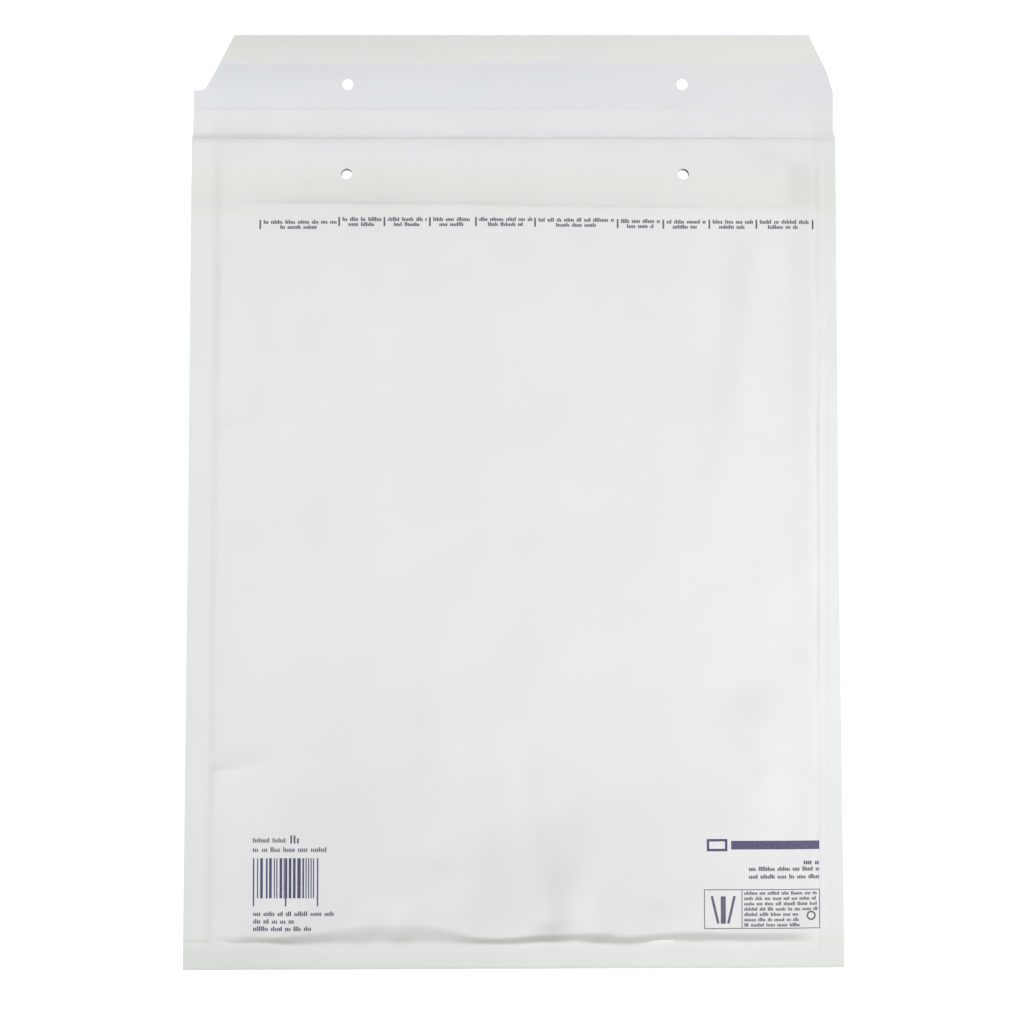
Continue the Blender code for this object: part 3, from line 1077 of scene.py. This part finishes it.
@dataclass
class FrontPrint:
    """The print's five pieces as plain marks, at (x, v) in millimetres on the front wall.

    The scale row has a tick, of a length and a width, at each place of ticks. The cell between
    two ticks holds type of a height and a weight: a long row between its margins, and a short
    one by cell_drop lower, inset by a share that is larger in a wide cell.
    """

    shape: EnvelopeShape
    ticks: Table = (
        (-113.0, 37.4), (-77.7, 36.2), (-57.5, 36.2), (-37.2, 36.2), (-16.6, 36.2), (9.8, 36.5),
        (46.7, 37.1), (67.1, 37.4), (87.6, 37.4), (108.7, 37.4), (133.9, 37.4),
    )
    tick: Pair = (4.1, 0.75)
    cell_type: Pair = (1.8, 0.72)
    cell_margins: Pair = (1.4, 1.0)
    cell_drop: float = 2.3
    cell_insets: Pair = (0.2, 0.25)
    wide_cell: float = 30.0

    def scale_row(self) -> PrintRun:
        """Row of upright marks under the lip, with a long and a short row of type in each cell.

        Returns:
            The marks.
        """
        run = PrintRun("print_scale_row", self.shape, seed=11)
        length, thickness = self.tick
        for x, v in self.ticks:
            run.line((x, v), (x, v + length), thickness)
        before, after = self.cell_margins
        for (left, v), (right, _) in zip(self.ticks[:-1], self.ticks[1:]):
            cell = right - left
            inset = self.cell_insets[int(cell >= self.wide_cell)] * cell
            run.words(
                TypeRow(left + before, v, cell - before - after, *self.cell_type),
                TypeRow(left + inset, v + self.cell_drop, cell - 2 * inset, *self.cell_type),
            )
        return run

    def left_stripes(self) -> PrintRun:
        """A block of upright stripes at the lower left, with three longer ones.

        Returns:
            The marks.
        """
        run = PrintRun("print_left_stripes", self.shape, seed=23)
        top = 320.5
        run.stripes((-112.6, top), (-87.4, 337.9), count=17)
        for x in (-114.1, -99.9, -85.9):
            run.line((x, top), (x, 341.4), thickness=0.6)
        return run

    def left_type(self) -> PrintRun:
        """Rows of small type over and under the stripes.

        Returns:
            The marks.
        """
        run = PrintRun("print_left_type", self.shape, seed=29)
        run.words(
            TypeRow(-114.6, 311.7, 15.0, 2.0, 0.62),
            TypeRow(-98.3, 310.6, 7.6, 3.5, 0.55),
            TypeRow(-114.6, 315.7, 33.5, 2.1, 0.62),
            TypeRow(-114.3, 343.6, 36.0, 2.0, 0.68),
            TypeRow(-114.3, 346.9, 18.6, 2.0, 0.68),
            TypeRow(-114.3, 350.1, 26.0, 2.0, 0.68),
        )
        return run

    def right_bar(self) -> PrintRun:
        """A small frame and a plain bar at the lower right.

        Returns:
            The marks.
        """
        run = PrintRun("print_right_bar", self.shape, seed=31)
        run.frame((85.6, 312.9), (93.6, 317.2), thickness=1.1)
        run.line((95.8, 315.1), (134.8, 315.1), thickness=3.8)
        return run

    def right_block(self) -> PrintRun:
        """Short rows of type and a framed panel with plain lines and a ring, under the bar.

        Returns:
            The marks.
        """
        run = PrintRun("print_right_block", self.shape, seed=37)
        run.words(
            TypeRow(127.7, 321.5, 7.0, 2.2, 0.8),
            TypeRow(103.5, 324.6, 31.2, 1.9, 0.76),
            TypeRow(103.5, 328.0, 31.2, 1.9, 0.76),
        )
        low, high, divider, rule = (84.0, 334.7), (134.7, 351.7), 100.5, 0.35
        run.frame(low, high, rule)
        run.line((divider, low[1]), (divider, high[1]), rule)
        for row, length in enumerate((32.5, 32.5, 32.5, 32.5, 25.0, 25.0, 25.0)):
            run.words(TypeRow(101.4, 335.4 + 2.33 * row, length, 1.55, 0.72))
        run.ring((131.0, 346.2), diameter=3.4, thickness=0.7)
        middle = (low[0] + divider) / 2
        for lean_top, lean_foot in ((-5.0, -2.2), (5.0, 2.2)):
            run.line((middle + lean_top, 337.5), (middle + lean_foot, 349.5), thickness=1.1)
        run.line((middle, 337.6), (middle, 349.6), thickness=2.2)
        return run


@dataclass(frozen=True)
class Noise:
    """A noise on Object coordinates.

    Attributes:
        scale: Waves to the metre.
        detail: Levels of finer waves.
        stretch: Scale along each axis.
    """

    scale: float
    detail: float
    stretch: Triple = (1.0, 1.0, 1.0)


@dataclass(frozen=True)
class Cloud:
    """A value that wavers with a noise, between the first limit and the second."""

    noise: Noise
    limits: Pair


@dataclass(frozen=True)
class Grain:
    """A bump of the surface: its noise, its depth in metres and the share of it that shows."""

    noise: Noise
    depth: float
    strength: float


class NodeKit:
    """Builds one Principled material, node by node."""

    def __init__(self, name: str, color: Triple, roughness: float) -> None:
        """Starts a material.

        Args:
            name: The material's name.
            color: Its base colour.
            roughness: Its roughness.
        """
        self.material = bpy.data.materials.new(name)
        self.material.use_nodes = True
        self.tree = self.material.node_tree
        self.shader = self.tree.nodes["Principled BSDF"]
        self.coordinates = self.tree.nodes.new("ShaderNodeTexCoord").outputs["Object"]
        self.feed(self.shader, {"Base Color": (*color, 1.0), "Roughness": roughness})

    def feed(self, node: Any, inputs: dict[Any, Any]) -> None:
        """Links inputs of a node to sockets, or sets them to values.

        Args:
            node: The node.
            inputs: The socket or the value for each input.
        """
        for key, source in inputs.items():
            if isinstance(source, bpy.types.NodeSocket):
                self.tree.links.new(source, node.inputs[key])
            else:
                node.inputs[key].default_value = source

    def add(self, kind: str, inputs: dict[Any, Any], **settings: str) -> Any:
        """Adds a node.

        Args:
            kind: Its type, as it follows ShaderNode.
            inputs: The socket or the value for each input.
            settings: Its own properties.

        Returns:
            The node.
        """
        node = self.tree.nodes.new(f"ShaderNode{kind}")
        for name, value in settings.items():
            setattr(node, name, value)
        self.feed(node, inputs)
        return node

    def noise(self, noise: Noise) -> Any:
        """Adds a noise.

        Args:
            noise: Its scale, detail and stretch.

        Returns:
            Its value's socket.
        """
        mapping = self.add("Mapping", {"Vector": self.coordinates, "Scale": noise.stretch})
        inputs = {"Vector": mapping.outputs["Vector"], "Scale": noise.scale, "Detail": noise.detail}
        return self.add("TexNoise", inputs).outputs["Fac"]

    def ramp(self, value: Any, limits: Pair, window: Pair = (0.3, 0.7)) -> Any:
        """Spreads a value from a window of it out to two limits, and gives the result's socket."""
        ends = zip(("From Min", "From Max", "To Min", "To Max"), (*window, *limits))
        return self.add("MapRange", {"Value": value, **dict(ends)}).outputs["Result"]

    def cloud(self, cloud: Cloud) -> Any:
        """Adds a value that wavers, and gives its socket."""
        return self.ramp(self.noise(cloud.noise), cloud.limits)

    def along(self, axis: str, window: Pair) -> Any:
        """Adds the share of the way through a window on an axis, and gives its socket."""
        split = self.add("SeparateXYZ", {"Vector": self.coordinates})
        return self.ramp(split.outputs[axis], (0.0, 1.0), window)

    def bands(self, share: Any, stops: Iterable[tuple[float, Triple]]) -> Any:
        """Adds bands of colour along a share.

        Args:
            share: The socket with the share.
            stops: Pairs of a share and its colour, in rising order.

        Returns:
            The colour's socket.
        """
        node = self.add("ValToRGB", {"Fac": share})
        elements = node.color_ramp.elements
        for number, (place, color) in enumerate(stops):
            stop = elements[number] if number < 2 else elements.new(1.0)
            stop.position = float(np.clip(place, 0.0, 1.0))
            stop.color = (*color, 1.0)
        return node.outputs["Color"]

    def shade(self, color: Any, amount: Any) -> Any:
        """Multiplies a colour by an amount, and gives the socket of the result."""
        return self.add("VectorMath", {0: color, "Scale": amount}, operation="SCALE").outputs["Vector"]

    def blend(self, share: Any, first: Triple, second: Triple) -> Any:
        """Mixes two colours by the share of the second, and gives the socket of the result."""
        inputs = {"A": (*first, 1.0), "B": (*second, 1.0), "Factor": share}
        return self.add("Mix", inputs, data_type="RGBA").outputs["Result"]

    def bump(self, grain: Grain) -> None:
        """Adds a bump in front of any earlier one.

        Args:
            grain: The bump's noise, depth and strength.
        """
        height = self.noise(grain.noise)
        inputs = {"Height": height, "Distance": grain.depth, "Strength": grain.strength}
        normal = self.shader.inputs["Normal"]
        if normal.is_linked:
            inputs["Normal"] = normal.links[0].from_socket
        self.feed(self.shader, {"Normal": self.add("Bump", inputs).outputs["Normal"]})


@dataclass(frozen=True)
class Finish:
    """A finish: its colour, its gloss and its grain, each uneven where it says so.

    Attributes:
        name: The material's name.
        color: Its base colour.
        roughness: Its roughness, where no gloss is given.
        second: The colour that the clouds bring in.
        clouds: Share of the second colour.
        gloss: Its uneven roughness.
        grains: Its bumps, the coarsest first.
        extras: Other inputs of the shader, with their values.
    """

    name: str
    color: Triple
    roughness: float
    second: Optional[Triple] = None
    clouds: Optional[Cloud] = None
    gloss: Optional[Cloud] = None
    grains: tuple[Grain, ...] = ()
    extras: tuple[tuple[str, Any], ...] = ()

    def tint(self, kit: NodeKit) -> Any:
        """Adds the two colours' blend, and gives its socket."""
        return kit.blend(kit.cloud(self.clouds), self.color, self.second)

    def material(self) -> bpy.types.Material:
        """Makes the finish's material.

        Returns:
            The material.
        """
        kit = NodeKit(self.name, self.color, self.roughness)
        kit.feed(kit.shader, dict(self.extras))
        if self.clouds:
            kit.feed(kit.shader, {"Base Color": self.tint(kit)})
        if self.gloss:
            kit.feed(kit.shader, {"Roughness": kit.cloud(self.gloss)})
        for grain in self.grains:
            kit.bump(grain)
        return kit.material


@dataclass(frozen=True)
class PaperFinish(Finish):
    """Smooth bleached kraft: faint clouding, fibres, and bands along it that hold painted shade.

    Attributes:
        bands: Pairs of v in millimetres and the colour there, from the foot up, painted shade among
            them.
        clouds: Share of the colour that the clouds leave.
        shape: The envelope, whose length and mouth place the bands.
    """

    name: str = "white_paper"
    color: Triple = (0.795, 0.822, 0.812)
    roughness: float = 0.6
    bands: tuple[tuple[float, Triple], ...] = (
        # a little darker and yellower at the foot
        (369.0, (0.790, 0.815, 0.790)),
        (357.0, (0.790, 0.815, 0.792)),
        (354.0, (0.795, 0.822, 0.812)),
        (36.0, (0.795, 0.822, 0.812)),
        # painted shade: darker, yellower stops down into the groove under the lip
        (30.0, (0.774, 0.795, 0.751)),
        (17.0, (0.788, 0.808, 0.768)),
        (9.0, (0.795, 0.815, 0.812)),
        (2.2, (0.795, 0.815, 0.812)),
        # painted shadow: these two darker stops are a shadow line along the crease at the mouth
        (0.6, (0.750, 0.768, 0.765)),
        (-0.6, (0.760, 0.778, 0.778)),
        (-2.4, (0.797, 0.816, 0.816)),
        (-12.0, (0.800, 0.817, 0.820)),
        # yellower and a little lighter towards the flap's tip
        (-34.0, (0.812, 0.828, 0.794)),
        (-46.0, (0.820, 0.838, 0.786)),
    )
    clouds: Cloud = Cloud(Noise(28.0, 4.0), (1.0, 0.978))
    gloss: Cloud = Cloud(Noise(160.0, 3.0), (0.52, 0.66))
    grains: tuple[Grain, ...] = (
        Grain(Noise(110.0, 4.0, (1.0, 0.6, 1.0)), 0.10 * MM, 0.3),
        Grain(Noise(700.0, 4.0, (1.0, 0.5, 1.0)), 0.03 * MM, 0.35),
        Grain(Noise(2600.0, 2.0), 0.01 * MM, 0.3),
    )
    shape: EnvelopeShape = field(kw_only=True)

    def tint(self, kit: NodeKit) -> Any:
        """Adds the bands of colour and painted shade along the envelope, darkened by the clouds.

        Args:
            kit: The material's nodes.

        Returns:
            The colour's socket.
        """
        length = self.shape.total_length
        half = length / 2
        stops = [((self.shape.mouth_y - v * MM + half) / length, color) for v, color in self.bands]
        return kit.shade(kit.bands(kit.along("Y", (-half, half)), stops), kit.cloud(self.clouds))


@dataclass(frozen=True)
class ReleaseFinish(Finish):
    """Siliconised paper: cooler and smoother than the sheet."""

    name: str = "release_paper"
    color: Triple = (0.792, 0.812, 0.824)
    roughness: float = 0.4
    second: Triple = (0.776, 0.800, 0.816)
    clouds: Cloud = Cloud(Noise(40.0, 3.0, (0.4, 1.0, 1.0)), (0.0, 1.0))
    gloss: Cloud = Cloud(Noise(120.0, 3.0), (0.36, 0.48))
    grains: tuple[Grain, ...] = (Grain(Noise(190.0, 3.0, (0.5, 1.0, 1.0)), 0.05 * MM, 0.3),)


@dataclass(frozen=True)
class AdhesiveFinish(Finish):
    """Hot-melt adhesive: a dull, slightly yellow film with drag lines."""

    name: str = "adhesive"
    color: Triple = (0.80, 0.77, 0.66)
    roughness: float = 0.35
    gloss: Cloud = Cloud(Noise(300.0, 3.0, (0.1, 1.0, 1.0)), (0.28, 0.45))
    grains: tuple[Grain, ...] = (Grain(Noise(500.0, 2.0, (0.08, 1.0, 1.0)), 0.05 * MM, 0.4),)


@dataclass(frozen=True)
class FilmFinish(Finish):
    """Clear polyethylene bubble film, glossy and slightly milky."""

    name: str = "bubble_film"
    color: Triple = (0.86, 0.89, 0.90)
    roughness: float = 0.18
    gloss: Cloud = Cloud(Noise(220.0, 3.0), (0.12, 0.26))
    grains: tuple[Grain, ...] = (Grain(Noise(420.0, 3.0), 0.08 * MM, 0.35),)
    extras: tuple[tuple[str, Any], ...] = (("Transmission Weight", 0.6), ("Coat Weight", 0.4))


@dataclass(frozen=True)
class InkFinish(Finish):
    """Slate-violet printing ink, a little uneven, as solid fields of it show."""

    name: str = "print_ink"
    color: Triple = (0.062, 0.060, 0.150)
    roughness: float = 0.55
    second: Triple = (0.10, 0.097, 0.20)
    clouds: Cloud = Cloud(Noise(900.0, 2.0), (0.0, 1.0))
    grains: tuple[Grain, ...] = (Grain(Noise(2600.0, 2.0), 0.01 * MM, 0.3),)


@dataclass(frozen=True)
class FineInkFinish(InkFinish):
    """The same ink in fine strokes, which look lighter and greyer."""

    name: str = "print_ink_fine"
    color: Triple = (0.098, 0.102, 0.138)
    second: Triple = (0.15, 0.155, 0.195)


@dataclass(frozen=True)
class SoftLight:
    """A square softbox that faces the middle of the envelope.

    Attributes:
        name: Its name.
        place: Where it stands.
        size: Its side.
        share: Brightness that it gives to a white sheet lying at the middle.
        color: Its colour.
    """

    name: str
    place: Triple
    size: float
    share: float
    color: Triple = (0.99, 1.0, 1.003)

    def build(self) -> None:
        """Adds the light, hidden from the camera itself.

        Its power is share * pi squared * r cubed / z, from the falloff with the distance r and
        the slant z / r at which its light reaches the sheet.
        """
        x, y, z = self.place
        distance = float(np.linalg.norm(self.place))
        data = bpy.data.lights.new(self.name, "AREA")
        data.shape = "SQUARE"
        data.size = self.size
        data.energy = self.share * np.pi**2 * distance**3 / z
        data.color = self.color
        light = bpy.data.objects.new(self.name, data)
        light.location = self.place
        light.rotation_euler = (np.arccos(z / distance), 0.0, np.arctan2(y, x) + np.pi / 2)
        light.visible_camera = False
        bpy.context.scene.collection.objects.link(light)


@dataclass
class Studio:
    """The floor, the light and the camera."""

    target: Triple = (-0.5 * MM, -6.4 * MM, 0.0)
    distance: float = 1.0770
    tilt: float = 3.41
    lens: float = 85.0
    nearest: float = 0.01
    floor_size: float = 60.0
    floor_drop: float = 0.2 * MM
    floor_tone: float = 0.12
    floor_roughness: float = 0.8
    floor_glow: float = 0.97
    ambient: float = 0.04
    lights: tuple[SoftLight, ...] = (
        SoftLight("key", (-1.3, 1.7, 1.4), size=0.9, share=0.30),
        SoftLight("left_low", (-2.0, 0.3, 1.0), size=0.8, share=0.09),
        SoftLight("right_box", (0.38, -0.08, 0.6), size=0.3, share=0.468, color=(1.01, 0.995, 0.995)),
        SoftLight("left_box", (-0.5, -0.05, 0.6), size=0.3, share=0.12),
        SoftLight("foot_box", (0.0, -0.55, 0.6), size=0.3, share=0.04, color=(1.0, 1.0, 1.0)),
    )

    def camera(self) -> None:
        """Adds the camera, almost straight above, a little towards the foot of the envelope."""
        lean = np.radians(self.tilt)
        back = np.array((0.0, -np.sin(lean), np.cos(lean)))
        data = bpy.data.cameras.new("camera")
        data.lens = self.lens
        data.clip_start = self.nearest
        camera = bpy.data.objects.new("camera", data)
        camera.location = np.array(self.target) + self.distance * back
        camera.rotation_euler = (lean, 0.0, 0.0)
        bpy.context.scene.collection.objects.link(camera)
        bpy.context.scene.camera = camera

    def floor(self) -> None:
        """Adds the pale floor just under the envelope, lit from within as a light table is."""
        half, z = self.floor_size / 2, -self.floor_drop
        corners = np.array(((-half, -half, z), (half, -half, z), (half, half, z), (-half, half, z)))
        floor = mesh_object("floor", corners, np.array(((0, 1, 2, 3),)))
        glow = (("Emission Color", (1.0, 1.0, 1.0, 1.0)), ("Emission Strength", self.floor_glow))
        finish = Finish("floor_white", (self.floor_tone,) * 3, self.floor_roughness, extras=glow)
        floor.data.materials.append(finish.material())

    def light(self) -> None:
        """Adds even light from all round and the softboxes."""
        world = bpy.data.worlds.new("studio")
        world.use_nodes = True
        background = world.node_tree.nodes["Background"]
        background.inputs["Color"].default_value = (1.0, 1.0, 1.0, 1.0)
        background.inputs["Strength"].default_value = self.ambient
        bpy.context.scene.world = world
        for light in self.lights:
            light.build()

    def view(self) -> None:
        """Sets the plain view transform."""
        view = bpy.context.scene.view_settings
        view.view_transform = "Standard"
        view.look = "None"

    def build(self) -> None:
        """Sets up the camera, the floor, the light and the view transform."""
        self.camera()
        self.floor()
        self.light()
        self.view()


@dataclass
class Dresser:
    """Gives each piece its finish, its body and the nodes that it stands for."""

    body: str

    def dress(
        self,
        piece: bpy.types.Object,
        material: bpy.types.Material,
        slot: Optional[str] = None,
        *nodes: str,
    ) -> None:
        """Finishes one piece.

        Args:
            piece: The piece.
            material: Its material.
            slot: The record's slot of its finish; not used.
            nodes: The nodes that it stands for.
        """
        piece.data.materials.clear()
        piece.data.materials.append(material)
        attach(piece, self.body)
        if nodes:
            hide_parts(*nodes)
        LOG.info("%s: %d faces", piece.name, len(piece.data.polygons))


def main() -> None:
    """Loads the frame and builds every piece."""
    logging.basicConfig(level=logging.INFO, format="%(name)s %(message)s")
    for obj in list(bpy.data.objects):
        bpy.data.objects.remove(obj, do_unlink=True)
    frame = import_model()
    low, high = (np.array(corner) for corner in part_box("paper_envelope"))
    shape = EnvelopeShape(float(high[0] - low[0]), float(high[1] - low[1]))
    outline = SheetOutline(shape)
    punch = Punch(shape)
    dresser = Dresser(next(iter(frame["bodies"])))

    sheet = PaperSheet(shape, outline, punch).build()
    dresser.dress(sheet, PaperFinish(shape=shape).material(), "white_paper", "paper_envelope")
    film = FilmFinish().material()
    for name, outside, toward in (
        ("bubble_film_back", shape.back, 1),
        ("bubble_film_front", shape.front, -1),
    ):
        panel = BubblePanel(name, shape, outside, toward).build()
        dresser.dress(panel, film, "bubble_film", name.replace("film", "liner"))
    adhesive = FlapStrip("adhesive_band", shape, outline, punch, start=15 * MM, end=30 * MM)
    dresser.dress(adhesive.build(), AdhesiveFinish().material(), "adhesive", "adhesive_strip")
    release = FlapStrip(
        "release_band", shape, outline, punch, start=13 * MM, end=34.3 * MM, lift=0.04 * MM
    )
    dresser.dress(release.build(), ReleaseFinish().material(), "release_paper", "release_strip")
    marks = FrontPrint(shape)
    for ink, draws in (
        (InkFinish().material(), (marks.left_stripes, marks.right_bar)),
        (FineInkFinish().material(), (marks.scale_row, marks.left_type, marks.right_block)),
    ):
        for draw in draws:
            dresser.dress(draw().build(), ink)

    Studio().build()


if __name__ == "__main__":
    main()
